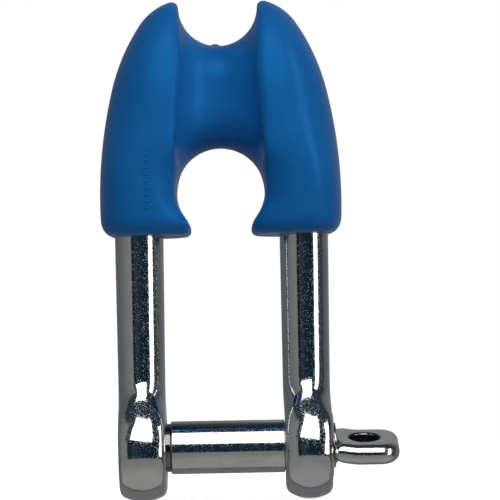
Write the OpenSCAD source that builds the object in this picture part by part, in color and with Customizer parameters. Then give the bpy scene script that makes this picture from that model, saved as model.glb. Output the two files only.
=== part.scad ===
// Thimble shackle: a long D shackle forged in stainless steel, with a moulded
// rope thimble over its bow and a screw pin across its eyes.
// Millimetres. X runs along the pin towards its lug, Y goes from front to rear,
// Z goes from the pin up to the horns. The origin is the middle of the pin.

/* [Shackle body] */
// Distance between the centre lines of the two legs
leg_spacing = 25.1; // [24.6:0.1:26]
// Diameter of the bow and of the top of the legs
bow_d = 7.4; // [7:0.1:7.6]
// Diameter of the legs just above the eyes
leg_d = 7; // [6.6:0.1:7.2]
// Height of the centre of the round bow above the pin
bow_z = 40.7; // [40:0.1:42]
// Outside diameter of the forged eyes
eye_d = 16; // [15.4:0.2:17]
// Width of each eye along the pin
eye_w = 7.1; // [6.9:0.1:7.6]
// Corner radius of the rim of each eye
eye_rim_r = 2.8; // [1.5:0.1:3.2]
// Radius of the hollow curve where a leg widens into its eye
foot_r = 6; // [4:0.5:7]

/* [Screw pin] */
// Diameter of the smooth shank of the pin
pin_d = 8; // [7.6:0.1:8.2]
// Space around the pin in the eyes, on the radius
pin_play = 0.06; // [0.03:0.01:0.08]
// Distance from one thread ridge to the next
thread_pitch = 1.25; // [1:0.05:1.5]
// Width of the lug across its flat sides
lug_w = 10.6; // [10:0.2:12]
// Thickness of the lug
lug_t = 2.9; // [2.4:0.1:3.4]
// Diameter of the hole through the lug
lug_hole_d = 4.9; // [4:0.1:5.4]
// Angle of the lug around the pin, positive with its front edge down
lug_turn = 16.5; // [-90:0.5:90]

/* [Thimble] */
// Half of the width of the thimble where it is widest
half_w = 18.37; // [18.2:0.05:18.8]
// Half of the thickness of the thimble at the height of the bridge
half_t = 11.3; // [10.8:0.1:11.8]
// Radius of the rope groove at the notch between the horns
notch_r = 6; // [5.6:0.1:6.2]
// Radius of the rope groove at the hole under the bridge
hole_r = 6.7; // [6.4:0.1:6.9]
// Half of the thickness of the bridge, measured at the foot of the groove
bridge_r = 5.7; // [5.5:0.1:5.9]
// Radius of the rounded edges where the groove meets the cheeks
ridge_r = 1.3; // [0.8:0.1:1.5]
// Half of the width of the gap between the two lips under the hole
lip_gap = 4.63; // [4.2:0.1:5]

/* [Hidden] */
$fn = 96;
eps = 0.01;
far = 60;
steel = [0.78, 0.79, 0.81];
blue = [0.04, 0.27, 0.58];
pin_steel = [0.7, 0.71, 0.73];

// shackle body
leg_x = leg_spacing / 2;
eye_r = eye_d / 2;
pin_r = pin_d / 2;
bore_r = pin_r + pin_play;
bore_chamfer = 0.4;
foot_x = leg_d / 2 + foot_r;
foot_sink = 0.3;
foot_z = sqrt(pow(eye_r + foot_r, 2) - pow(foot_x, 2)) - foot_sink;
foot_share = 0.97 * eye_r / (eye_r + foot_r);
foot_w = eye_w - 0.2;
core_d = leg_d - 2;
boss_r = 5;
boss_h = 0.3;

// screw pin
head_gap = 0.05;
head_x = leg_x + eye_w / 2 + boss_h + head_gap;
tail_x = -leg_x - eye_w / 2;
tail_chamfer = 0.6;
shank_gap = 0.65;
shank_x = -leg_x + eye_w / 2 + shank_gap;
shank_edge_l = 0.25;
shank_edge_h = 0.15;
neck_r = pin_r - 0.2;
neck_l = 0.95;
neck_edge = 0.1;
thread_x = shank_x - neck_l;
thread_r = pin_r - 0.07;
thread_depth = 0.55;
thread_floor = 0.16;
thread_mouth = 1;
thread_over = 0.15;
thread_turns = floor((thread_x - tail_x - tail_chamfer) / thread_pitch);
thread_end = thread_x - thread_turns * thread_pitch;
relief_x = leg_x - eye_w / 2;
relief_l = 0.5;
relief_d = 0.3;
lug_edge = 1.1;
lug_neck = 4.6;
lug_x = head_x + lug_neck;
lug_chamfer = 0.3;
lug_corner = 2.4;
lug_lap = 0.6;
lug_corner_x = lug_x + lug_w / 2 - lug_corner;
lug_corner_y = lug_w / 2 - lug_corner;
collar_l = 0.35;

// thimble: the outline has three arcs on each side, the last one over the horn
side_r = 72;
shoulder_r = 32;
tip_r = 9;
widest_z = bow_z - 3.3;
shoulder_z = bow_z + 13.4;
tip_z = bow_z + 23.5;
side_c = [half_w - side_r, widest_z];
side_a = asin((shoulder_z - side_c.y) / side_r);
shoulder_c = side_c + (side_r - shoulder_r) * [cos(side_a), sin(side_a)];
shoulder_a = asin((tip_z - shoulder_c.y) / shoulder_r);
tip_c = shoulder_c + (shoulder_r - tip_r) * [cos(shoulder_a), sin(shoulder_a)];
horn_x = 7;
base_z = bow_z - 8.65;
base_r = 2;

// side view of the thimble: a long arc up each face and a tighter one at the top
face_r = 48;
face_z = bow_z + 9;
face_c = [face_r - half_t, face_z];
crown_r = 17;
crown_z = face_z + 4.4;
crown_a = asin((crown_z - face_z) / face_r);
crown_c = face_c + (face_r - crown_r) * [-cos(crown_a), sin(crown_a)];
toe_y = half_t - face_r + face_r * cos(asin((face_z - base_z - base_r) / face_r));

// the path of the rope around the bridge
low_z = bow_z + 4.7 + bridge_r;
high_z = bow_z + 20.4 - bridge_r;
hole_z = low_z - bridge_r - hole_r;
rise = high_z - low_z;
slant = atan((hole_r - notch_r) / rise);
run_on = 1.2;
taper = run_on * (hole_r - notch_r) / rise;
lip_r = 1.4;
lip_x = lip_gap + lip_r;
horn_z = high_z + bridge_r + notch_r;
horn_bevel = 1.2;
mouth_r = 3;
mouth_y = 8;
ridge_y = half_t - ridge_r;
ridge_x = notch_r + ridge_r;
channel_play = 0.02;

// the pegs that keep the two halves of the thimble in line
peg_r = 1.5;
peg_l = 3;
peg_x = 10;
peg_z = bow_z + 18.4;
peg_play = 0.04;

// Draws its children at both sides of the middle plane.
module both_sides() {
    children();
    mirror([1, 0, 0])
        children();
}

// Turns the Z axis of its children into the X axis.
module along_x() {
    rotate([0, 90, 0])
        children();
}

// The front view of a 2D shape, given thickness t from front to rear.
module front_view(t) {
    rotate([90, 0, 0])
        linear_extrude(height = t, center = true)
            children();
}

// ---- shackle body ----

// Half of the cross section of an eye, turned about the pin to make the eye.
module eye_profile() {
    rim_y = eye_w / 2 - eye_rim_r;
    translate([0, -eye_w / 2])
        square([eye_r - eye_rim_r, eye_w]);
    translate([0, -rim_y])
        square([eye_r, 2 * rim_y]);
    for (y = [-rim_y, rim_y])
        translate([eye_r - eye_rim_r, y])
            circle(r = eye_rim_r);
}

// The trumpet shape that carries a leg into its eye.
module foot_profile() {
    difference() {
        square([foot_x * foot_share, foot_z]);
        translate([foot_x, foot_z])
            circle(r = foot_r);
    }
}

module eye_and_foot() {
    translate([leg_x, 0, 0]) {
        along_x()
            rotate_extrude()
                eye_profile();
        intersection() {
            rotate_extrude()
                foot_profile();
            translate([-foot_w / 2, -far, 0])
                cube([foot_w, 2 * far, far]);
        }
    }
}

// The bow and the two legs, with their surface moved out by grow. A core joins them to the eyes.
module bow_and_legs(grow) {
    translate([0, 0, bow_z])
        rotate([90, 0, 0])
            rotate_extrude(angle = 180)
                translate([leg_x, 0])
                    circle(r = bow_d / 2 + grow);
    both_sides()
        translate([leg_x, 0, 0]) {
            translate([0, 0, foot_z])
                cylinder(h = bow_z - foot_z, r1 = leg_d / 2 + grow, r2 = bow_d / 2 + grow);
            cylinder(h = bow_z, d = core_d);
        }
}

// The widened mouth of a bore whose face is at x, opening towards +X or -X.
module bore_mouth(x, way) {
    translate([x + way * eps, 0, 0])
        rotate([0, -90 * way, 0])
            cylinder(h = bore_chamfer, r1 = bore_r + bore_chamfer, r2 = bore_r);
}

module eye_bores() {
    inner_x = leg_x - eye_w / 2;
    outer_x = leg_x + eye_w / 2;
    along_x()
        cylinder(h = 2 * far, r = bore_r, center = true);
    bore_mouth(-outer_x, -1);
    bore_mouth(-inner_x, 1);
    bore_mouth(inner_x, -1);
    bore_mouth(outer_x + boss_h, 1);
}

module shackle_body() {
    color(steel)
        difference() {
            union() {
                both_sides()
                    eye_and_foot();
                bow_and_legs(0);
                translate([leg_x + eye_w / 2 - boss_h, 0, 0])
                    along_x()
                        cylinder(h = 2 * boss_h, r = boss_r);
            }
            eye_bores();
        }
}

// ---- screw pin ----

// One V-shaped thread groove, seen in half section with its middle at height y.
module thread_groove(y) {
    top = thread_depth + thread_over;
    translate([thread_r - thread_depth, y])
        polygon([
            [0, -thread_floor / 2],
            [0, thread_floor / 2],
            [top, thread_mouth / 2],
            [top, -thread_mouth / 2]
        ]);
}

// Half of the cross section of the turned part of the pin.
module pin_profile() {
    difference() {
        polygon([
            [0, tail_x],
            [thread_r - tail_chamfer, tail_x],
            [thread_r, tail_x + tail_chamfer],
            [thread_r, thread_x],
            [neck_r, thread_x + neck_edge],
            [neck_r, shank_x],
            [pin_r - shank_edge_h, shank_x],
            [pin_r, shank_x + shank_edge_l],
            [pin_r, relief_x],
            [pin_r - relief_d, relief_x],
            [pin_r - relief_d, relief_x + relief_l],
            [pin_r, relief_x + relief_l],
            [pin_r, head_x + collar_l],
            [0, head_x + collar_l]
        ]);
        for (turn = [0 : thread_turns - 1])
            thread_groove(thread_end + (turn + 0.5) * thread_pitch);
    }
}

// Half of a cross section of the lug, r wide, with its edge rounded.
module lug_profile(r) {
    flat = lug_t / 2 - lug_edge;
    translate([0, -lug_t / 2])
        square([r - lug_edge, lug_t]);
    translate([0, -flat])
        square([r, 2 * flat]);
    for (y = [-flat, flat])
        translate([r - lug_edge, y])
            circle(r = lug_edge);
}

module lug() {
    rotate([lug_turn, 0, 0])
        difference() {
            union() {
                for (side = [-1, 1])
                    translate([lug_corner_x, side * lug_corner_y, 0])
                        rotate_extrude()
                            lug_profile(lug_corner);
                translate([lug_corner_x, lug_corner_y, 0])
                    rotate([90, 0, 0])
                        linear_extrude(height = 2 * lug_corner_y) {
                            lug_profile(lug_corner);
                            translate([-lug_lap, -lug_t / 2])
                                square([2 * lug_lap, lug_t]);
                        }
                translate([head_x, 0, 0])
                    rotate([90, 0, 90])
                        linear_extrude(height = lug_corner_x - head_x)
                            both_sides_flat()
                                lug_profile(lug_w / 2);
            }
            translate([lug_x, 0, 0])
                cylinder(h = 2 * lug_t, d = lug_hole_d, center = true);
            for (side = [-1, 1])
                translate([lug_x, 0, side * (lug_t / 2 + eps)])
                    rotate([90 - 90 * side, 0, 0])
                        translate([0, 0, -lug_chamfer])
                            cylinder(h = lug_chamfer, d1 = lug_hole_d, d2 = lug_hole_d + 2 * lug_chamfer);
        }
}

// Draws a half section and its mirror image, in 2D.
module both_sides_flat() {
    children();
    mirror([1, 0])
        children();
}

module shackle_pin() {
    color(pin_steel) {
        along_x()
            rotate_extrude()
                pin_profile();
        lug();
    }
}

// ---- thimble ----

// The part between two heights of a circle of radius r about c.
module outline_arc(r, c, low, high) {
    intersection() {
        translate([c.x - horn_x, c.y])
            circle(r = r);
        translate([0, low])
            square([far, high - low]);
    }
}

// Half of the upright section of a cheek, turned about the line under its horn.
module cheek_profile() {
    outline_arc(side_r, side_c, base_z - 1, shoulder_z);
    outline_arc(shoulder_r, shoulder_c, shoulder_z, tip_z);
    outline_arc(tip_r, tip_c, tip_z, far + bow_z);
}

// Both cheeks and the block between them, before anything is cut away.
module cheeks() {
    block_y = bridge_r + 1;
    both_sides()
        translate([horn_x, 0, 0])
            rotate_extrude()
                cheek_profile();
    translate([-horn_x, -block_y, hole_z + hole_r - 1])
        cube([2 * horn_x, 2 * block_y, high_z + bridge_r - hole_z - hole_r + 1]);
}

// Side view of one face of the thimble, with everything behind it.
module face_side() {
    intersection() {
        translate(face_c)
            circle(r = face_r);
        translate([-far, -far])
            square([3 * far, far + crown_z]);
    }
    intersection() {
        translate(crown_c)
            circle(r = crown_r);
        translate([-far, crown_z - eps])
            square([3 * far, far]);
    }
}

// Side view of the whole thimble, with rounded edges at its base.
module side_view() {
    flat_y = toe_y - base_r;
    intersection() {
        face_side();
        mirror([1, 0])
            face_side();
        union() {
            translate([-far, base_z + base_r])
                square([2 * far, far]);
            translate([-flat_y, base_z])
                square([2 * flat_y, 2 * base_r]);
            for (y = [-flat_y, flat_y])
                translate([y, base_z + base_r])
                    circle(r = base_r);
        }
    }
}

// Front view of one side of the thimble, from its rounded lip to its outer edge.
module foot_view() {
    outer_x = half_w - base_r;
    translate([lip_x, base_z])
        square([outer_x - lip_x, far]);
    translate([lip_gap, base_z + lip_r])
        square([lip_r, far]);
    translate([outer_x - eps, base_z + base_r])
        square([far, far]);
    translate([outer_x, base_z + base_r])
        circle(r = base_r);
    translate([lip_x, base_z + lip_r])
        circle(r = lip_r);
    translate([-eps, hole_z])
        square([far, far]);
}

// Half of the round path of a rope of radius r, around the top of the bridge.
module rope_round(r) {
    rotate([90, 0, 90])
        rotate_extrude(angle = 180)
            translate([bridge_r + r, 0])
                circle(r = r);
}

// The space that the rope takes up around the bridge.
module rope_path() {
    translate([0, 0, low_z])
        mirror([0, 0, 1])
            rope_round(hole_r);
    translate([0, 0, high_z])
        rope_round(notch_r);
    for (side = [-1, 1])
        translate([0, side * (bridge_r + hole_r), low_z])
            rotate([side * slant, 0, 0])
                translate([0, 0, -run_on])
                    cylinder(h = rise / cos(slant) + 2 * run_on, r1 = hole_r + taper, r2 = notch_r - taper);
}

// The bevel on the inner side of the horn tips.
module horn_gap() {
    wide = notch_r + horn_bevel;
    front_view(2 * far)
        translate([0, horn_z])
            polygon([
                [-notch_r, 0],
                [notch_r, 0],
                [wide, horn_bevel],
                [wide, far],
                [-wide, far],
                [-wide, horn_bevel]
            ]);
}

// The rounded edges of the groove on the front and rear of the cheeks.
module ridge_rounding() {
    for (side = [0, 1])
        mirror([0, side, 0])
            translate([0, 0, hole_z + hole_r])
                linear_extrude(height = high_z + bridge_r - hole_z - hole_r)
                    difference() {
                        translate([-ridge_x, ridge_y])
                            square([2 * ridge_x, far]);
                        for (x = [-ridge_x, ridge_x])
                            translate([x, ridge_y])
                                circle(r = ridge_r);
                    }
}

// The rounded mouth of the hole, at the front and at the rear.
module hole_mouth() {
    for (side = [0, 1])
        mirror([0, side, 0])
            translate([0, mouth_y, hole_z])
                rotate([-90, 0, 0])
                    rotate_extrude()
                        difference() {
                            square([hole_r + mouth_r, far]);
                            translate([hole_r + mouth_r, 0])
                                circle(r = mouth_r);
                        }
}

// The front half of the thimble, without sockets.
module thimble_half() {
    difference() {
        intersection() {
            cheeks();
            rotate([90, 0, 90])
                linear_extrude(height = 2 * far, center = true)
                    side_view();
            front_view(2 * far)
                both_sides_flat()
                    foot_view();
            translate([-far, -far, 0])
                cube([2 * far, far, 2 * far]);
        }
        rope_path();
        horn_gap();
        ridge_rounding();
        hole_mouth();
        bow_and_legs(channel_play);
    }
}

// The pegs of the rear half, or the sockets for them, larger by grow.
module pegs(grow) {
    both_sides()
        translate([peg_x, eps, peg_z])
            rotate([90, 0, 0])
                cylinder(h = peg_l + grow, r = peg_r + grow);
}

module thimble_front() {
    color(blue)
        difference() {
            thimble_half();
            pegs(peg_play);
        }
}

module thimble_rear() {
    color(blue) {
        mirror([0, 1, 0])
            thimble_half();
        pegs(0);
    }
}

shackle_body();
thimble_front();
thimble_rear();
shackle_pin();
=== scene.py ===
"""Thimble shackle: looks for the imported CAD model, in the same frame.

Lengths in the shape functions are millimetres; objects are made in metres.
X runs along the pin towards its lug, Y from front to rear, Z up to the horns.
"""

import math

import bpy
import numpy as np
from mathutils import Matrix, Vector


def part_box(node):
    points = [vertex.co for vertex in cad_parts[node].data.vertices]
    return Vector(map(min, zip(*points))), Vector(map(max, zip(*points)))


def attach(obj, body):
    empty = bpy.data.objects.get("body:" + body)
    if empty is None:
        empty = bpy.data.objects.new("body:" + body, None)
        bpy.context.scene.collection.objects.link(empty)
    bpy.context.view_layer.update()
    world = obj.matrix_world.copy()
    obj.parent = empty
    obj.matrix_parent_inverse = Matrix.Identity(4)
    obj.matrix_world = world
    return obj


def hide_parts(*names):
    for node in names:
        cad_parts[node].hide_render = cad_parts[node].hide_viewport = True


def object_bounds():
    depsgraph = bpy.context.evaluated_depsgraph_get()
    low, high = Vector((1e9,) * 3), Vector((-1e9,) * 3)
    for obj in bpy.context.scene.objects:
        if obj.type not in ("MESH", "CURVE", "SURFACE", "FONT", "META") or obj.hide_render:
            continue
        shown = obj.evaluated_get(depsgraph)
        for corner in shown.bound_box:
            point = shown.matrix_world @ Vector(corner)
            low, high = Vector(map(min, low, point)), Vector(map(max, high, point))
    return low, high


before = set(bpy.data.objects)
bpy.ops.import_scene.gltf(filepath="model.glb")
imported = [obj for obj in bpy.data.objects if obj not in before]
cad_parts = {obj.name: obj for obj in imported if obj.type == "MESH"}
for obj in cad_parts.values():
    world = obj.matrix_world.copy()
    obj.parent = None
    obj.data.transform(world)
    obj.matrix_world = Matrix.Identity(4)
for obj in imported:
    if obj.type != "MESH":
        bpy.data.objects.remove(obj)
cad_low, cad_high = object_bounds()

# ---- sizes, in millimetres ----

MM = 0.001             # one millimetre in metres
CHAMFER = 0.707        # scales a 45 degree chamfer so that its field stays a distance

# the forging
LEG_X = 12.55          # centre line of a leg
BOW_Z = 40.7           # centre of the round bow
BOW_R = 3.75           # radius of the bow and of the top of the legs
LEG_R = 3.57           # radius of a leg just above its eye
LEG_LOW_Z = 10         # height up to which a leg keeps that radius
LEG_LEAN = 0.07        # how far the legs lean in above their eyes
NECK_Z = (3.5, 9)      # heights between which an eye turns into its leg
EYE_R = 8.0            # radius of an eye about the pin
EYE_HALF = 3.55        # half of the width of an eye
EYE_SHIFT = 0.12       # how far both eyes sit towards +X of LEG_X
EYE_RIM = 0.7          # rounding of an eye's edges
EYE_FILLET = 3.3       # fillet between an eye and its leg
CROWN_LEFT = 6.9       # radius of the slightly domed rim face of the left eye
CROWN_RIGHT = 5.9      # the same for the right eye
CREST_LEFT = 0.06      # how far the crest of that dome lies outwards of the middle
CREST_RIGHT = 0.18     # the same for the right eye
FACE_X = LEG_X + EYE_HALF              # outer face of an eye
BORE_R = 4.06          # radius of the bores
BORE_CHAMFER = 0.45    # chamfer at their ends
BORE_EDGE = 0.12       # rounding of their edges
BOSS_R = 4.6           # radius of the low boss under the lug
BOSS_H = 0.3           # its height over the face of the right eye
BOSS_ROOT = 1          # how far it reaches into the eye
BOSS_EDGE = 0.25       # rounding of its edge
BOSS_FILLET = 0.7      # fillet between it and the eye

# the thread
PITCH = 1.25           # M8 coarse
EYE_THREAD = 0.4       # depth of the thread in the left eye
EYE_FLANK = 0.62       # rise of its flanks over half a pitch
EYE_LAND = 0.22        # part of that rise taken by its flat crest
PIN_THREAD = 0.56      # depth of the thread on the pin

# the pin
PIN_R = 4.0            # radius of the shank
THREAD_R = 3.93        # radius over the crests of its thread
HEAD_X = FACE_X + BOSS_H + 0.05        # where the lug starts
TAIL_X = -FACE_X       # blind end, flush with the left eye
SHANK_X = -LEG_X + EYE_HALF + 0.8      # left end of the shank
THREAD_X = SHANK_X - 1.1               # right end of the thread
NECK_R = PIN_R - 0.35  # radius of the neck between thread and shank
RELIEF_X = LEG_X - EYE_HALF            # a narrow groove at the inner face of the right eye
RELIEF_R = PIN_R - 0.3                 # radius at its bottom
LUG_X = HEAD_X + 4.6   # centre of the hole in the lug
LUG_TURN = math.radians(16.5)          # how far the lug is turned about the pin
LUG_DROP = 0.4         # how far its flat part sits below the axis of the pin
LUG_HALF_W = 5.27      # half of its width, also from the hole to its far end
LUG_CORNER = 3.0       # radius of its corners
LUG_HALF_T = 1.57      # half of its thickness
LUG_EDGE = 1.45        # rounding of its edges
LUG_HOLE_R = 2.3       # radius of its hole
LUG_CHAMFER = 0.25     # chamfer of the hole
LUG_HOLE_EDGE = 0.14   # rounding of the hole's edges
LUG_SHOULDER = 0.9     # rounding of its corners next to the pin
COLLAR_R = 3.4         # radius of the short round collar at its foot
COLLAR_HALF = 0.15     # half of the collar's length
COLLAR_FILLET = 1.3    # fillet between the collar and the lug
HEAD_EDGE = 0.12       # rounding where the foot meets the boss

# the thimble
half_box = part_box("thimble_front")
HALF_W = half_box[1].x / MM            # half of the thimble's width
BASE_Z = half_box[0].z / MM            # height of its lower edge
TOP_Z = BOW_Z + 27.2   # height where the horns are cut off
SIDE_Z = BOW_Z - 3.3   # height where it is widest
SHOULDER_Z = BOW_Z + 13.4              # height where the side turns into the shoulder
TIP_Z = BOW_Z + 23.5   # height where the shoulder turns into the tip of the horn
SIDE_R = 72.0          # radius of the side's arc, seen from the front
SHOULDER_R = 32.0      # radius of the shoulder's arc
TIP_R = 9.0            # radius of the arc over the tip of the horn
CHEEK_T = 11.0         # half of the thimble's thickness
CHEEK_Z = 48           # height where it is thickest
FACE_R = 38            # radius of the front face below that height, seen from the side
HORN_H = 20.05         # from there to where the horns would end if they were not cut off
CREST_X = 12.3         # where a cheek is thickest, low down
CREST_IN = 4.4         # how far that line comes in beside the bridge
CREST_TIP = 0.9        # how much further it comes in at the horns
OVAL = 2.35            # power of the cheeks' oval section; 2 would be an ellipse
BASE_EDGE = 2.7        # rounding of the thimble's lower edge
TOP_EDGE = 0.45        # rounding of the horns where they are cut off
BRIDGE_R = 5.7         # half of the thickness of the bridge that the rope runs over
HOLE_R = 6.7           # radius of the rope's space in the hole under the bridge
NOTCH_R = 6.0          # its radius in the notch between the horns
GROOVE_EDGE = 0.9      # rounding of the groove's edges at the hole
GROOVE_SOFT = 0.5      # how much rounder they are further up
LOW_Z = 51.1           # centre of the lower end of the bridge
HIGH_Z = 55.4          # centre of its upper end, above which the groove opens at the top
LIP_GAP = 4.35         # half of the slot between the lips below the hole
LIP_Z = 37.0           # upper end of that slot
LIP_EDGE = 1.2         # rounding of the lips
PARTING = 0.01         # half of the gap between the two halves
CHANNEL_GAP = 0.04     # gap between the bow and its channel
INSIDE_EDGE = 0.35     # rounding of the edges of the parting face and the channel
NIB_X = -0.45          # middle of the small burr at the groove's upper edge
NIB_Z = 61.0           # its height
NIB_SIZE = (0.75, 0.9, 0.45)           # its reach along X, Y and Z

# the raised bars on the left cheek
BAR_X = -11.0          # middle of the column
BAR_Z = 39.8           # height of the middle bar
BAR_STEP = 1.0         # distance from bar to bar
BAR_ROWS = 4           # bars above and below the middle one
BAR_HALF_H = 0.2       # half of a bar's height
BAR_HALF_L = 0.42      # half of its length
BAR_CORNER = 0.12      # radius of its corners
BAR_RISE = 0.09        # how far it stands out from the cheek
BAR_ROOT = 0.4         # how far it reaches into the cheek


# ---- shape functions: negative inside, positive outside ----

def smooth_max(a, b, k):
    """The larger of a and b, blended where they differ by less than k."""
    h = np.clip(0.5 + 0.5 * (a - b) / k, 0, 1)
    return b + (a - b) * h + k * h * (1 - h)


def smooth_min(a, b, k):
    """The smaller of a and b, blended where they differ by less than k."""
    return -smooth_max(-a, -b, k)


def ramp(low, high, v):
    """0 below low, 1 above high, smooth between; the other way round if low is over high."""
    t = np.clip((v - low) / (high - low), 0, 1)
    return t * t * (3 - 2 * t)


def rounded(a, b, r):
    """The overlap of a and b with its edge rounded to radius r."""
    a, b = a + r, b + r
    return np.hypot(np.maximum(a, 0), np.maximum(b, 0)) + np.minimum(np.maximum(a, b), 0) - r


def thread_crest(x, angle):
    """0 in the groove of the pin's thread, 1 on its crest; angle is about X, from Y to Z."""
    phase = (x / PITCH - angle / (2 * np.pi)) % 1.0
    return np.abs(phase - 0.5) * 2


def leg_at(z):
    """Radius of the legs at a height, and how far they lie inside the ends of the bow."""
    share = np.clip((z - LEG_LOW_Z) / (BOW_Z - LEG_LOW_Z), 0, 1)
    return LEG_R + (BOW_R - LEG_R) * share, LEG_LEAN * (1 - share)


def arc_field(x, y, z):
    """A full ring, of which the bow is the upper half."""
    return np.hypot(np.hypot(x, z - BOW_Z) - LEG_X, y) - BOW_R


def bow_field(x, y, z):
    """The bow and the straight legs below it, without the eyes."""
    leg_r, lean = leg_at(z)
    leg = np.hypot(np.abs(x) - LEG_X + lean, y) - leg_r
    return np.where(z > BOW_Z, arc_field(x, y, z), leg)


def bore_field(x, y, z):
    """The bores through the eyes with their chamfers, and the thread in the left one."""
    rho = np.hypot(y, z)
    bore = rho - BORE_R
    s = np.abs(x) - LEG_X
    outer = np.where(x > 0, EYE_HALF + BOSS_H, EYE_HALF)
    depth = np.minimum(outer - s, s + EYE_HALF)
    bore = np.minimum(bore, (rho - BORE_R - BORE_CHAMFER + depth) * CHAMFER)
    groove = thread_crest(x, np.arctan2(z, y)) * EYE_FLANK - EYE_LAND
    thread = rho - BORE_R - np.clip(groove, 0, EYE_THREAD) * ramp(0.1, 0.5, depth)
    return np.where(x < 0, np.minimum(bore, thread), bore)


def shackle_field(x, y, z):
    """The whole forging: bow, legs, domed eyes and the boss, with the bores cut out."""
    upper = ramp(*NECK_Z, z)
    leg_r, lean = leg_at(z)
    s = np.abs(x) - LEG_X + lean * upper - np.where(x < 0, -EYE_SHIFT, EYE_SHIFT) * (1 - upper)
    half = EYE_HALF + (leg_r - EYE_HALF) * upper
    rim = EYE_RIM + (leg_r - EYE_RIM) * upper
    strip = smooth_max(np.abs(y) - leg_r, -z, 2)
    disc = np.hypot(y, z) - EYE_R
    crown_r = np.where(x < 0, CROWN_LEFT, CROWN_RIGHT)
    crest = np.where(x < 0, CREST_LEFT, CREST_RIGHT)
    across = np.minimum(np.abs(s - crest), 0.8 * CROWN_RIGHT)
    crown = crown_r - np.sqrt(crown_r ** 2 - across ** 2)
    side = smooth_min(strip, disc, EYE_FILLET) + crown * (1 - upper)
    low = rounded(side, np.abs(s) - half, rim)
    solid = np.where(z > BOW_Z, arc_field(x, y, z), low)
    from_axis = np.hypot(y, z) - BOSS_R
    boss = rounded(from_axis, np.abs(x - FACE_X + BOSS_ROOT) - BOSS_ROOT - BOSS_H, BOSS_EDGE)
    solid = smooth_min(solid, boss, BOSS_FILLET)
    return smooth_max(solid, -bore_field(x, y, z), BORE_EDGE)


def outline(z):
    """Half of the thimble's width at height z: three arcs, the last one over the horn."""
    side_x = HALF_W - SIDE_R
    a = math.asin((SHOULDER_Z - SIDE_Z) / SIDE_R)
    shoulder_x = side_x + (SIDE_R - SHOULDER_R) * math.cos(a)
    shoulder_z = SIDE_Z + (SIDE_R - SHOULDER_R) * math.sin(a)
    b = math.asin((TIP_Z - shoulder_z) / SHOULDER_R)
    tip_x = shoulder_x + (SHOULDER_R - TIP_R) * math.cos(b)
    tip_z = shoulder_z + (SHOULDER_R - TIP_R) * math.sin(b)
    arcs = (
        (SIDE_R, side_x, SIDE_Z),
        (SHOULDER_R, shoulder_x, shoulder_z),
        (TIP_R, tip_x, tip_z),
    )
    side, shoulder, tip = (cx + np.sqrt(np.maximum(r * r - (z - cz) ** 2, 0.0)) for r, cx, cz in arcs)
    return np.where(z < SHOULDER_Z, side, np.where(z < TIP_Z, shoulder, tip))


def rope_field(x, y, z):
    """The space of the rope around the bridge, open at the top between the horns."""
    away = np.maximum(np.maximum(LOW_Z - z, z - HIGH_Z), 0)
    far = np.hypot(away, y * ramp(38.7, 43.5, z))
    r = HOLE_R + (NOTCH_R - HOLE_R) * ramp(47, 60, z)
    v = far - BRIDGE_R - r
    v = np.where((z > HIGH_Z) & (v > 0), 0, v)
    return np.hypot(x, v) - r


def cheeks_field(x, y, z):
    """Both cheeks: an oval section at every height, open towards the middle above the hole."""
    crest = CREST_X - CREST_IN * ramp(39.5, 51, z) - CREST_TIP * ramp(56, 67, z)
    wide = np.maximum(outline(z) - crest, 0.4)
    inner = 0.150 - 0.130 * ramp(41.5, 49, z) - 0.045 * ramp(38, 33.2, z)
    arc = np.sqrt(np.maximum(FACE_R ** 2 - (z - CHEEK_Z) ** 2, 1))
    face = CHEEK_T - FACE_R + arc
    horn = np.clip((z - CHEEK_Z) / HORN_H, 0, 1)
    top = CHEEK_T * np.maximum(1 - horn ** 3, 0.001) ** 0.555
    thick = np.maximum(np.where(z < CHEEK_Z, face, top), 0.4) - 0.04
    s = np.abs(x) - crest
    u = np.where(s > 0, s / wide, -s * inner)
    v = np.abs(y) / thick
    level = (u ** OVAL + v ** OVAL + 1e-9) ** (1 / OVAL)
    away = np.hypot(s, y) + 1e-6
    return away - away / level


def thimble_field(x, y, z):
    """The whole thimble: cheeks and horns, less the rope's groove and the slot between the lips."""
    solid = cheeks_field(x, y, z)
    solid = smooth_max(solid, BASE_Z - z, BASE_EDGE)
    solid = smooth_max(solid, z - TOP_Z, TOP_EDGE)
    edge = GROOVE_EDGE + GROOVE_SOFT * ramp(43, 49, z)
    solid = smooth_max(solid, -rope_field(x, y, z), edge)
    gap = smooth_max(np.abs(x) - LIP_GAP, z - LIP_Z, 1)
    solid = smooth_max(solid, -gap, LIP_EDGE)
    long, deep, high = NIB_SIZE
    nib = np.sqrt(((x - NIB_X) / long) ** 2 + (y / deep) ** 2 + ((z - NIB_Z) / high) ** 2 + 1e-9)
    return smooth_min(solid, (nib - 1) * high, 0.25)


def thimble_half_field(x, y, z):
    """The front half: the parting face at the middle plane and the channel for the bow are cut."""
    solid = smooth_max(thimble_field(x, y, z), y + PARTING, INSIDE_EDGE)
    return smooth_max(solid, CHANNEL_GAP - bow_field(x, y, z), INSIDE_EDGE)


def bars_field(x, y, z):
    """A column of small raised bars on the left cheek of the front half."""
    row = np.clip(np.round((z - BAR_Z) / BAR_STEP), -BAR_ROWS, BAR_ROWS)
    up = np.abs(z - BAR_Z - row * BAR_STEP) - BAR_HALF_H
    flat = rounded(up, np.abs(x - BAR_X) - BAR_HALF_L, BAR_CORNER)
    skin = thimble_field(x, y, z)
    return smooth_max(rounded(skin - BAR_RISE, flat, 0.07), -skin - BAR_ROOT, 0.05)


def lug_across(y, z):
    """Distance from the pin's axis along the width of the turned lug."""
    return y * math.cos(LUG_TURN) + z * math.sin(LUG_TURN)


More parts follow.
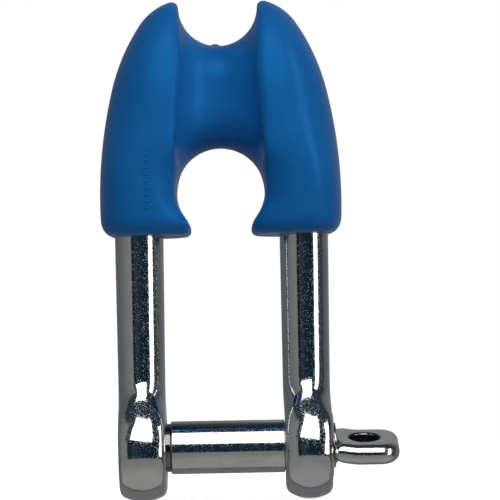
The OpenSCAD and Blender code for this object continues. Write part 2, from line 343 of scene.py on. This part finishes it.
def lug_field(x, y, z):
    """The flat ear of the pin with its round hole, turned about the pin."""
    drop = z + LUG_DROP * ramp(HEAD_X, HEAD_X + 4, x)
    across = lug_across(y, drop)
    up = -y * math.sin(LUG_TURN) + drop * math.cos(LUG_TURN)
    plan = rounded(np.abs(across) - LUG_HALF_W, x - LUG_X - LUG_HALF_W, LUG_CORNER)
    plan = smooth_max(plan, HEAD_X - x, LUG_SHOULDER)
    ear = rounded(plan, np.abs(up) - LUG_HALF_T, LUG_EDGE)
    collar = rounded(np.hypot(y, z) - COLLAR_R, np.abs(x - HEAD_X - COLLAR_HALF) - COLLAR_HALF, 0.1)
    ear = smooth_min(ear, collar, COLLAR_FILLET)
    ear = smooth_max(ear, HEAD_X - x, HEAD_EDGE)
    hole = np.hypot(x - LUG_X, across) - LUG_HOLE_R
    hole = np.minimum(hole, (hole - LUG_CHAMFER + LUG_HALF_T - np.abs(up)) * CHAMFER)
    return smooth_max(ear, -hole, LUG_HOLE_EDGE)


# ---- meshes from shape functions ----

def nudges(h):
    """The three steps of length h along the axes."""
    return np.eye(3) * h


def gradient(field, p, h=0.02):
    """The field's slope along each axis at the points p."""
    slopes = [(field(*(p + d).T) - field(*(p - d).T)) / (2 * h) for d in nudges(h)]
    return np.stack(slopes, 1)


def settle(field, p, rounds, limit):
    """Moves points onto the surface of the field, no more than limit in each round."""
    for _ in range(rounds):
        g = gradient(field, p)
        size = np.maximum((g * g).sum(1), 1e-6)
        move = -(field(*p.T) / size)[:, None] * g
        length = np.linalg.norm(move, axis=1)[:, None]
        p = p + move * np.minimum(1, limit / np.maximum(length, 1e-9))
    return p


CORNERS = [(i, j, k) for i in (0, 1) for j in (0, 1) for k in (0, 1)]
EDGES = [
    (a, b)
    for a in range(8)
    for b in range(a + 1, 8)
    if sum(abs(CORNERS[a][i] - CORNERS[b][i]) for i in range(3)) == 1
]
SLAB = 12              # layers of the grid that are measured at a time


def surface_net(field, low, high, step):
    """Points and four-sided faces of the surface where the field is zero."""
    axes = [np.arange(lo, hi + step, step) for lo, hi in zip(low, high)]
    shape = [len(a) for a in axes]
    values = np.empty(shape)
    for i in range(0, shape[0], SLAB):
        grid = np.meshgrid(axes[0][i:i + SLAB], axes[1], axes[2], indexing="ij")
        values[i:i + SLAB] = field(*grid)

    # one point in every cell that the surface passes through
    inside = values < 0
    near = [slice(0, -1), slice(1, None)]
    count = sum(inside[near[i], near[j], near[k]].astype(int) for i, j, k in CORNERS)
    active = (count > 0) & (count < 8)
    cell = np.argwhere(active)
    number = np.full(active.shape, -1)
    number[active] = np.arange(len(cell))
    total = np.zeros((len(cell), 3))
    hits = np.zeros(len(cell))
    at = [values[tuple((cell + c).T)] for c in CORNERS]
    for a, b in EDGES:
        va, vb = at[a], at[b]
        cut = (va < 0) != (vb < 0)
        t = np.where(cut, va / np.where(va == vb, 1, va - vb), 0)[:, None]
        point = np.array(CORNERS[a]) + t * (np.array(CORNERS[b]) - np.array(CORNERS[a]))
        total += point * cut[:, None]
        hits += cut
    points = (cell + total / hits[:, None]) * step + np.array([a[0] for a in axes])

    # one face around every edge of the grid that the surface crosses
    faces = []
    for axis in range(3):
        u, v = (axis + 1) % 3, (axis + 2) % 3
        first = np.take(inside, range(shape[axis] - 1), axis)
        second = np.take(inside, range(1, shape[axis]), axis)
        spot = np.argwhere(first != second)
        spot = spot[(spot[:, u] > 0) & (spot[:, v] > 0)]
        spot = spot[(spot[:, u] < shape[u] - 1) & (spot[:, v] < shape[v] - 1)]
        outwards = first[tuple(spot.T)]
        ring = []
        for du, dv in ((1, 1), (0, 1), (0, 0), (1, 0)):
            c = spot.copy()
            c[:, u] -= du
            c[:, v] -= dv
            ring.append(number[tuple(c.T)])
        quad = np.stack(ring, 1)
        quad[~outwards] = quad[~outwards][:, ::-1]
        faces.append(quad)
    faces = np.concatenate(faces)
    return points, faces[(faces >= 0).all(1)]


def relax(points, faces, field, rounds, step):
    """Evens the faces out: each point moves towards its neighbours and back onto the surface."""
    a = faces.ravel()
    b = np.roll(faces, -1, 1).ravel()
    count = len(points)
    degree = np.bincount(a, minlength=count) + np.bincount(b, minlength=count)
    for _ in range(rounds):
        total = np.zeros_like(points)
        for i in range(3):
            ahead = np.bincount(a, points[b, i], count)
            total[:, i] = ahead + np.bincount(b, points[a, i], count)
        points = points + 0.5 * (total / np.maximum(degree, 1)[:, None] - points)
        points = settle(field, points, 1, step)
    return points


def sculpt(field, low, high, step, rounds=3, reach=0.35):
    """Points, faces, outward directions and a wear and shade value of a field's surface.

    It is over 0 on edges that stand out, where the materials paint wear, and under 0 in recesses,
    where the steel gets painted shade; felt out to reach.
    """
    points, faces = surface_net(field, low, high, step)
    points = settle(field, points, 3, step)
    points = relax(points, faces, field, rounds, step)
    points = settle(field, points, 2, step * 0.5)
    out = gradient(field, points)
    out /= np.maximum(np.linalg.norm(out, axis=1), 1e-9)[:, None]
    bend = -6 * field(*points.T)
    for d in nudges(reach):
        bend = bend + field(*(points + d).T) + field(*(points - d).T)
    # over 0 on standing edges (wear), under 0 in recesses (painted shade)
    wear_and_shade = np.clip(bend / (reach * reach) * 0.5, -1, 1)
    return points, faces, out, wear_and_shade


def joined(*parts):
    """Several surfaces as one."""
    shift = 0
    faces = []
    for p, f, _, _ in parts:
        faces.append(f + shift)
        shift += len(p)
    points, _, out, wear_and_shade = (np.concatenate(column) for column in zip(*parts))
    return points, np.concatenate(faces), out, wear_and_shade


def piece(name, surface, material, body, node, mirror_y=False):
    """A mesh object in metres that rides on a body and stands for a CAD node."""
    points, faces, out, wear_and_shade = surface
    if mirror_y:
        points = points * [1, -1, 1]
        out = out * [1, -1, 1]
        faces = faces[:, ::-1]
    mesh = bpy.data.meshes.new(name)
    mesh.vertices.add(len(points))
    mesh.vertices.foreach_set("co", (points * MM).ravel())
    mesh.loops.add(faces.size)
    mesh.loops.foreach_set("vertex_index", np.ascontiguousarray(faces).ravel())
    mesh.polygons.add(len(faces))
    mesh.polygons.foreach_set("loop_start", np.arange(0, faces.size, 4))
    mesh.update(calc_edges=True)
    mesh.validate()
    mesh.polygons.foreach_set("use_smooth", np.ones(len(mesh.polygons), bool))
    layer = mesh.attributes.new("wear_and_shade", "FLOAT", "POINT")
    layer.data.foreach_set("value", wear_and_shade.astype(np.float32))
    mesh.normals_split_custom_set_from_vertices([tuple(v) for v in out])
    mesh.materials.append(material)
    thing = bpy.data.objects.new(name, mesh)
    bpy.context.scene.collection.objects.link(thing)
    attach(thing, body)
    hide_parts(node)


def turned(profile, count):
    """A turned surface about X from (x, radius, thread share) points.

    A helical thread is cut where the share is over 0.
    """
    x, r, share = (np.array(c)[:, None] for c in zip(*profile))
    angle = np.linspace(0, 2 * np.pi, count, endpoint=False)[None, :]
    vee = np.clip(1.15 - thread_crest(x, angle) * 1.3, 0, 1)
    radius = r - share * PIN_THREAD * vee
    grid = np.stack([x + 0 * angle, radius * np.cos(angle), radius * np.sin(angle)], 2)
    rows = len(profile)
    index = np.arange(rows * count).reshape(rows, count)
    after = np.roll(index, -1, 1)
    faces = np.stack([index[:-1], after[:-1], after[1:], index[1:]], 2).reshape(-1, 4)
    along = np.gradient(grid, axis=0)
    around = np.roll(grid, -1, 1) - np.roll(grid, 1, 1)
    out = np.cross(around, along).reshape(-1, 3)
    out /= np.maximum(np.linalg.norm(out, axis=1), 1e-12)[:, None]
    # painted shade: the neck counts as a recess, so that its steel is painted darker
    neck_shade = ramp(THREAD_X - 0.2, THREAD_X + 0.2, x) * (1 - ramp(SHANK_X - 0.1, SHANK_X + 0.15, x))
    return grid.reshape(-1, 3), faces, out, (-0.55 * neck_shade + 0 * angle).ravel()


def arc_points(cx, cr, r, start, end, steps=7):
    """Profile points along an arc, angles in degrees from +X towards +radius."""
    angles = [math.radians(a) for a in np.linspace(start, end, steps)]
    return [(cx + r * math.cos(a), cr + r * math.sin(a), 0.0) for a in angles]


def line_points(a, b, steps):
    """Profile points along a line from (x, radius) a to b."""
    shares = np.linspace(0, 1, steps)
    return [(a[0] + (b[0] - a[0]) * t, a[1] + (b[1] - a[1]) * t, 0.0) for t in shares]


def pin_profile():
    """Half section of the turned part of the pin, from its tail to its head."""
    axis = 0.02            # the ends stop just short of the axis
    tail = TAIL_X + 0.002
    tail_edge = 0.12
    relief_end = RELIEF_X + 0.5
    # the flat tail, its edge and a short lead-in
    points = line_points((tail, axis), (tail, THREAD_R - 0.75), 6)
    points += arc_points(TAIL_X + tail_edge, THREAD_R - 0.7, tail_edge, 180, 135)
    points += line_points((TAIL_X + 0.1, THREAD_R - 0.6), (TAIL_X + 0.55, THREAD_R - 0.06), 5)
    # the thread, which fades in at the tail and runs out at the neck
    for x in np.arange(TAIL_X + 0.6, THREAD_X, 0.05):
        fade_in = float(ramp(TAIL_X + 0.3, TAIL_X + 1.4, x))
        run_out = float(1 - ramp(THREAD_X - 1.0, THREAD_X - 0.2, x))
        points.append((x, THREAD_R, fade_in * run_out))
    # the neck
    points += arc_points(THREAD_X - 0.1, THREAD_R - 0.1, 0.1, 90, 10)
    points += line_points((THREAD_X + 0.05, PIN_R - 0.27), (THREAD_X + 0.25, PIN_R - 0.3), 3)
    points += line_points((THREAD_X + 0.3, NECK_R), (SHANK_X - 0.05, NECK_R), 5)
    # the shank with the relief groove
    points += arc_points(SHANK_X + 0.3, PIN_R - 0.3, 0.3, 180, 90)
    points += line_points((SHANK_X + 0.35, PIN_R), (RELIEF_X - 0.05, PIN_R), 40)
    points += line_points((RELIEF_X, PIN_R - 0.03), (RELIEF_X, RELIEF_R + 0.03), 4)
    points += line_points((RELIEF_X + 0.03, RELIEF_R), (relief_end - 0.03, RELIEF_R), 4)
    points += line_points((relief_end, RELIEF_R + 0.03), (relief_end, PIN_R - 0.03), 4)
    points += line_points((relief_end + 0.05, PIN_R), (HEAD_X - 0.02, PIN_R), 20)
    # the flat end under the lug
    points += line_points((HEAD_X, PIN_R - 0.02), (HEAD_X, axis), 8)
    return points


# ---- materials ----

def grey(v):
    """A neutral colour."""
    return (v, v, v, 1)


class Nodes:
    """Small helper for building a node tree."""

    def __init__(self, tree):
        self.tree = tree
        tree.nodes.clear()

    def add(self, kind, inputs=None, **settings):
        """A new node; inputs are sockets or constants, by index or name."""
        node = self.tree.nodes.new(kind)
        for key, value in settings.items():
            setattr(node, key, value)
        for key, value in (inputs or {}).items():
            socket = node.inputs[key]
            if isinstance(value, bpy.types.NodeSocket):
                self.tree.links.new(value, socket)
            else:
                socket.default_value = value
        return node

    def math(self, operation, a, b=0.0, clamp=False):
        """The result of one operation."""
        node = self.add("ShaderNodeMath", {0: a, 1: b}, operation=operation, use_clamp=clamp)
        return node.outputs[0]

    def total(self, layers):
        """The sum of (value, weight) layers."""
        result = None
        for value, weight in layers:
            part = self.math("MULTIPLY", value, weight)
            result = part if result is None else self.math("ADD", result, part)
        return result

    def between(self, value, low, high):
        """0 below low, 1 above high, smooth between; the other way round if low is over high."""
        inputs = {"Value": value, "From Min": low, "From Max": high}
        return self.add("ShaderNodeMapRange", inputs, interpolation_type="SMOOTHSTEP").outputs[0]

    def mix(self, share, a, b):
        """Colour a where the share is 0, b where it is 1."""
        return self.add("ShaderNodeMix", {0: share, 6: a, 7: b}, data_type="RGBA").outputs[2]

    def noise(self, where, scale, detail=2.0, rough=0.5):
        """Noise from 0 to 1; scale is in waves per metre."""
        inputs = {"Vector": where, "Scale": scale, "Detail": detail, "Roughness": rough}
        return self.add("ShaderNodeTexNoise", inputs).outputs["Fac"]

    def streaks(self, where, size, detail=2.0, rough=0.5):
        """Noise with its own scale along each axis, in waves per metre."""
        moved = self.add("ShaderNodeVectorMath", {0: where, 1: size}, operation="MULTIPLY")
        return self.noise(moved.outputs[0], 1.0, detail, rough)


class Surface:
    """A material with a Principled shader, in object coordinates and with the wear and painted shade
    value of its mesh.
    """

    def __init__(self, name):
        self.material = bpy.data.materials.new(name)
        self.material.use_nodes = True
        self.nodes = Nodes(self.material.node_tree)
        self.where = self.nodes.add("ShaderNodeTexCoord").outputs["Object"]
        self.wear_and_shade = self.nodes.add("ShaderNodeAttribute", attribute_name="wear_and_shade").outputs["Fac"]
        self.shader = self.nodes.add("ShaderNodeBsdfPrincipled")
        self.nodes.add("ShaderNodeOutputMaterial", {"Surface": self.shader.outputs[0]})

    def finish(self, colour, base_rough, rough, bump):
        """Links the colour, the roughness and the bump, and gives the material.

        The layers of rough are (0 to 1, roughness added); those of bump are (height 0 to 1,
        depth in millimetres).
        """
        n = self.nodes
        height = n.total([(value, depth * MM) for value, depth in bump])
        bumped = n.add("ShaderNodeBump", {"Height": height, "Distance": 1.0, "Strength": 1.0})
        roughness = n.math("ADD", n.total(rough), base_rough)
        n.tree.links.new(colour, self.shader.inputs["Base Color"])
        n.tree.links.new(roughness, self.shader.inputs["Roughness"])
        n.tree.links.new(bumped.outputs[0], self.shader.inputs["Normal"])
        return self.material


def steel_pits(n, where):
    """Sparse fine pits of polished steel."""
    return n.between(n.noise(where, 5200, 2, 0.6), 0.54, 0.66)


def polished_steel():
    """The mirror-polished forging: fine lines along the legs, pits, and painted shade that darkens
    the bores and other recesses.
    """
    steel = Surface("polished_steel")
    n, where, wear_and_shade = steel.nodes, steel.where, steel.wear_and_shade
    waves = n.noise(where, 330)
    grain = n.noise(where, 2600, 3, 0.6)
    lines = n.between(n.streaks(where, (9000, 9000, 500)), 0.66, 0.74)
    cloud = n.between(n.noise(where, 120, 4, 0.6), 0.35, 0.7)
    pits = steel_pits(n, where)
    colour = n.mix(cloud, (0.60, 0.605, 0.615, 1), (0.69, 0.69, 0.685, 1))
    colour = n.mix(n.math("MULTIPLY", wear_and_shade, 0.25, clamp=True), colour, grey(0.75))
    # painted shade: where the value falls below zero, in the bores and other recesses, the steel is
    # darkened to near black
    colour = n.mix(n.between(wear_and_shade, -0.22, -0.6), colour, grey(0.10))
    steel.shader.inputs["Metallic"].default_value = 1.0
    return steel.finish(
        colour,
        base_rough=0.03,
        rough=[(pits, 0.24), (lines, 0.06), (cloud, 0.02)],
        bump=[(waves, 0.009), (grain, 0.0015), (pits, 0.0012), (lines, 0.0008)],
    )


def turned_steel():
    """The pin: turning marks around it, a rougher forged skin on the lug, and painted shade in its
    neck and in the lug's hole.
    """
    steel = Surface("turned_steel")
    n, where, wear_and_shade = steel.nodes, steel.where, steel.wear_and_shade
    rings = n.streaks(where, (14000, 300, 300), 3, 0.6)
    grain = n.noise(where, 3200, 3, 0.6)
    waves = n.noise(where, 380)
    cloud = n.between(n.noise(where, 160, 4, 0.6), 0.35, 0.7)
    pits = steel_pits(n, where)
    colour = n.mix(cloud, (0.58, 0.58, 0.575, 1), (0.68, 0.675, 0.66, 1))
    colour = n.mix(n.math("MULTIPLY", wear_and_shade, 0.3, clamp=True), colour, (0.78, 0.78, 0.77, 1))
    # painted shade: the neck of the pin and the walls of the lug's hole are darkened
    colour = n.mix(n.between(wear_and_shade, -0.3, -0.6), colour, (0.15, 0.16, 0.155, 1))
    steel.shader.inputs["Metallic"].default_value = 1.0
    along = n.add("ShaderNodeSeparateXYZ", {0: where}).outputs[0]
    on_lug = n.between(along, HEAD_X * MM, (HEAD_X + 1.5) * MM)
    forged = n.math("MULTIPLY", on_lug, n.streaks(where, (2600, 1500, 1500), 3, 0.65))
    return steel.finish(
        colour,
        base_rough=0.03,
        rough=[(rings, 0.05), (pits, 0.22)],
        bump=[(waves, 0.005), (grain, 0.0015), (pits, 0.0012), (rings, 0.0009), (forged, 0.028)],
    )


def blue_polyamide():
    """The satin moulding: faint clouds and flow lines, paler scuffs on worn edges."""
    plastic = Surface("blue_polyamide")
    n, where, wear_and_shade = plastic.nodes, plastic.where, plastic.wear_and_shade
    cloud = n.between(n.noise(where, 90, 4, 0.55), 0.3, 0.72)
    flow = n.streaks(where, (260, 260, 90), 3)
    grain = n.noise(where, 4200, 2, 0.6)
    peel = n.noise(where, 900)
    scratch = n.between(n.streaks(where, (5200, 900, 2600), 3, 0.65), 0.6, 0.72)
    scuff = n.math("MULTIPLY", scratch, n.between(wear_and_shade, 0.25, 0.9))
    colour = n.mix(cloud, (0.009, 0.122, 0.385, 1), (0.01, 0.131, 0.415, 1))
    colour = n.mix(n.math("MULTIPLY", flow, 0.25), colour, (0.007, 0.142, 0.46, 1))
    colour = n.mix(n.math("MULTIPLY", scuff, 0.35), colour, (0.02, 0.22, 0.52, 1))
    plastic.shader.inputs["IOR"].default_value = 1.5
    plastic.shader.inputs["Specular IOR Level"].default_value = 0.36
    plastic.shader.inputs["Specular Tint"].default_value = (0.0, 0.4, 1.0, 1)
    return plastic.finish(
        colour,
        base_rough=0.21,
        rough=[(grain, 0.08), (scuff, 0.15), (cloud, 0.06)],
        bump=[(flow, 0.02), (peel, 0.004), (grain, 0.0018)],
    )


STEEL = polished_steel()
PIN_STEEL = turned_steel()
BLUE = blue_polyamide()


# ---- pieces ----

def paint_hole_shade(lug):
    """Paints full shade on the walls of the lug's hole and keeps the painted shade of its other
    recesses faint.
    """
    points, faces, out, wear_and_shade = lug
    across = lug_across(points[:, 1], points[:, 2] + LUG_DROP)
    near_hole = np.hypot(points[:, 0] - LUG_X, across) < LUG_HOLE_R + 0.2
    hole_shade = near_hole & (out[:, 2] < 0.9)
    # painted shade: -1 on the hole's walls, the lug's other recesses held at a faint -0.25
    return points, faces, out, np.where(hole_shade, -1, np.maximum(wear_and_shade, -0.25))


def build_pieces():
    """The four pieces; each is sculpted between a low and a high corner with faces of one step."""
    shackle = sculpt(shackle_field, (-16.9, -8.4, -8.4), (17.0, 8.4, 57.4), step=0.24)
    piece("forged_shackle", shackle, STEEL, "shackle", "shackle_body")

    margin = 0.4
    low = (-HALF_W - margin, -11.4, BASE_Z - margin)
    high = (HALF_W + margin, margin, cad_high.z / MM + margin)
    half = sculpt(thimble_half_field, low, high, step=0.3)
    bars = sculpt(bars_field, (-11.8, -11.4, 34.4), (-10.2, -6.5, 45.2), step=0.085, rounds=1)
    piece("thimble_front_half", joined(half, bars), BLUE, "shackle", "thimble_front")
    piece("thimble_rear_half", half, BLUE, "shackle", "thimble_rear", mirror_y=True)

    shank = turned(pin_profile(), count=180)
    low, high = (HEAD_X - 0.3, -6.2, -6.2), (LUG_X + 5.8, 6.2, 6.2)
    # the lug gets painted shade in its hole
    lug = paint_hole_shade(sculpt(lug_field, low, high, step=0.16))
    piece("screw_pin", joined(shank, lug), PIN_STEEL, "pin", "shackle_pin")


build_pieces()


# ---- studio ----

DEGREES = 57.2958      # degrees in a radian
SOFTBOX = (2.9, 2.9, 2.84, 1)
TALL_CARD = (3.0, 2.96, 3.0, 1)
TALL_CARD_BOX = (44.5, 64.0, -16, 42)
DARK_CEILING = (0.03, 0.045, 0.06, 1)
BACK_CEILING = (0.22, 0.23, 0.24, 1)
# the room's brightness all round: degrees from the front, turning towards +X
ROOM = [
    (-180, (0.19, 0.20, 0.21)), (-135, (0.12, 0.13, 0.14)), (-100, (0.14, 0.16, 0.165)),
    (-80, (0.19, 0.20, 0.205)), (-44, (0.26, 0.265, 0.26)), (-39, (0.24, 0.245, 0.245)),
    (-36, (0.004, 0.008, 0.011)), (-30, (0.006, 0.014, 0.02)), (-22, (0.032, 0.05, 0.065)),
    (-12, (0.018, 0.038, 0.055)), (5, (0.006, 0.024, 0.042)), (30, (0.006, 0.02, 0.036)),
    (39, (0.012, 0.024, 0.034)), (70, (0.04, 0.042, 0.048)), (76, (0.07, 0.072, 0.085)),
    (90, (0.035, 0.05, 0.065)), (102, (0.13, 0.13, 0.15)), (120, (0.15, 0.16, 0.17)),
    (150, (0.22, 0.23, 0.24)), (180, (0.30, 0.31, 0.32)),
]


def add_camera():
    """Straight at the front, a little from below, with a long lens."""
    aim = Vector((4.3, 0, 29.83)) * MM
    distance = 0.46
    across = 76.1 * MM
    sensor = 36
    elevation, roll = math.radians(-3.5), math.radians(1.05)
    back = Vector((0, -math.cos(elevation), math.sin(elevation)))
    data = bpy.data.cameras.new("camera")
    data.sensor_width = sensor
    data.lens = sensor * distance / across
    data.clip_start, data.clip_end = 0.01, 20
    camera = bpy.data.objects.new("camera", data)
    bpy.context.scene.collection.objects.link(camera)
    camera.location = aim + back * distance
    look = (-back).to_track_quat("-Z", "Y").to_matrix()
    camera.rotation_euler = (look @ Matrix.Rotation(-roll, 3, "Z")).to_euler()
    bpy.context.scene.camera = camera


def add_floor():
    """A plain pale floor just under the eyes: the camera alone sees it, and only from above."""
    size = 3.0
    z = cad_low.z - 0.00005
    corners = [(-size, -size, z), (size, -size, z), (size, size, z), (-size, size, z)]
    mesh = bpy.data.meshes.new("floor")
    mesh.from_pydata(corners, [], [(0, 1, 2, 3)])
    floor = bpy.data.objects.new("floor", mesh)
    bpy.context.scene.collection.objects.link(floor)
    material = bpy.data.materials.new("pale_floor")
    material.use_nodes = True
    n = Nodes(material.node_tree)
    matt = n.add("ShaderNodeBsdfDiffuse", {"Color": grey(0.8)})
    lift = n.add("ShaderNodeEmission", {"Color": grey(1.0), "Strength": 0.8})
    both = n.add("ShaderNodeAddShader", {0: matt.outputs[0], 1: lift.outputs[0]})
    clear = n.add("ShaderNodeBsdfTransparent")
    under = n.add("ShaderNodeNewGeometry").outputs["Backfacing"]
    shade = n.add("ShaderNodeMixShader", {0: under, 1: both.outputs[0], 2: clear.outputs[0]})
    n.add("ShaderNodeOutputMaterial", {"Surface": shade.outputs[0]})
    mesh.materials.append(material)
    floor.visible_glossy = False
    floor.visible_diffuse = False
    floor.visible_shadow = False


def card(n, turn, rise, box, soft):
    """1 on a card that covers (left, right, low, high) in degrees, with soft edges."""
    left, right, low, high = box
    inside = n.between(turn, left - soft, left + soft)
    inside = n.math("MULTIPLY", inside, n.between(turn, right + soft, right - soft))
    inside = n.math("MULTIPLY", inside, n.between(rise, low - soft, low + soft))
    return n.math("MULTIPLY", inside, n.between(rise, high + soft, high - soft))


def softbox(n, turn, rise):
    """1 on the large softbox above the front, whose sides, top and foot lean a little."""
    wide = n.math("MULTIPLY", rise, 0.12)
    left = n.math("ADD", n.math("SUBTRACT", turn, wide), 33.0)
    right = n.math("SUBTRACT", n.math("ADD", wide, n.math("ADD", wide, 23.0)), turn)
    slope = n.math("MULTIPLY", n.math("MAXIMUM", turn, 0.0), 0.17)
    top = n.math("SUBTRACT", n.math("SUBTRACT", 67.0, rise), slope)
    foot = n.math("ADD", rise, n.math("MULTIPLY", turn, 0.11))
    inside = n.math("MULTIPLY", n.between(left, -1.0, 1.0), n.between(right, -1.0, 1.0))
    inside = n.math("MULTIPLY", inside, n.between(top, -1.5, 1.5))
    return n.math("MULTIPLY", inside, n.between(foot, 14.5, 16.5))


def room_walls(n, turn):
    """The light of the walls at each turn, from the ROOM list."""
    ring = n.add("ShaderNodeValToRGB", {0: n.math("DIVIDE", n.math("ADD", turn, 180.0), 360.0)})
    elements = ring.color_ramp.elements
    elements[0].position, elements[1].position = 0.0, 1.0
    elements[0].color = (*ROOM[0][1], 1)
    elements[1].color = (*ROOM[-1][1], 1)
    for angle, colour in ROOM[1:-1]:
        elements.new((angle + 180) / 360).color = (*colour, 1)
    return ring.outputs[0]


def room_floor(n, y, rise):
    """The light of the floor: paler straight below, darker behind a seam at the rear."""
    light = n.mix(n.between(rise, -30, -55), (0.27, 0.275, 0.27, 1), (0.36, 0.355, 0.345, 1))
    light = n.mix(n.between(y, 0.20, 0.24), light, (0.19, 0.19, 0.195, 1))
    seam = n.math("MULTIPLY", n.between(y, 0.22, 0.25), n.between(y, 0.36, 0.30))
    return n.mix(n.math("MULTIPLY", seam, 0.45), light, (0.05, 0.06, 0.065, 1))


def add_studio():
    """A dim room with a large softbox above the front and a tall card on the right.

    The camera itself sees plain white. Angles are in degrees: turn from the front towards +X,
    rise above the horizon, pitch from the front over the top to the rear.
    """
    world = bpy.data.worlds.new("studio")
    bpy.context.scene.world = world
    world.use_nodes = True
    n = Nodes(world.node_tree)
    way = n.add("ShaderNodeTexCoord").outputs["Generated"]
    x, y, z = n.add("ShaderNodeSeparateXYZ", {0: way}).outputs
    front = n.math("MULTIPLY", y, -1.0)
    turn = n.math("MULTIPLY", n.math("ARCTAN2", x, front), DEGREES)
    rise = n.math("MULTIPLY", n.math("ARCSINE", z), DEGREES)
    pitch = n.math("MULTIPLY", n.math("ARCTAN2", z, front), DEGREES)

    light = room_walls(n, turn)
    ahead = n.math("MULTIPLY", n.between(turn, -47, -40), n.between(turn, 130, 100))
    light = n.mix(n.math("MULTIPLY", n.between(rise, 10, 20), ahead), light, DARK_CEILING)
    ceiling = n.mix(n.between(pitch, 108, 152), DARK_CEILING, BACK_CEILING)
    light = n.mix(n.between(rise, 46, 54), light, ceiling)
    light = n.mix(n.between(rise, -20, -23), light, room_floor(n, y, rise))
    light = n.mix(softbox(n, turn, rise), light, SOFTBOX)
    lean = n.math("SUBTRACT", turn, n.math("MAXIMUM", n.math("MULTIPLY", rise, 0.22), 0.0))
    light = n.mix(card(n, lean, rise, TALL_CARD_BOX, 2.0), light, TALL_CARD)

    seen = n.add("ShaderNodeLightPath").outputs["Is Camera Ray"]
    studio = n.add("ShaderNodeBackground", {"Color": light, "Strength": 1.0})
    paper = n.add("ShaderNodeBackground", {"Color": grey(1.0), "Strength": 1.0})
    both = n.add("ShaderNodeMixShader", {0: seen, 1: studio.outputs[0], 2: paper.outputs[0]})
    n.add("ShaderNodeOutputWorld", {"Surface": both.outputs[0]})


add_camera()
add_floor()
add_studio()
view = bpy.context.scene.view_settings
view.view_transform = "Standard"
view.look = "None"
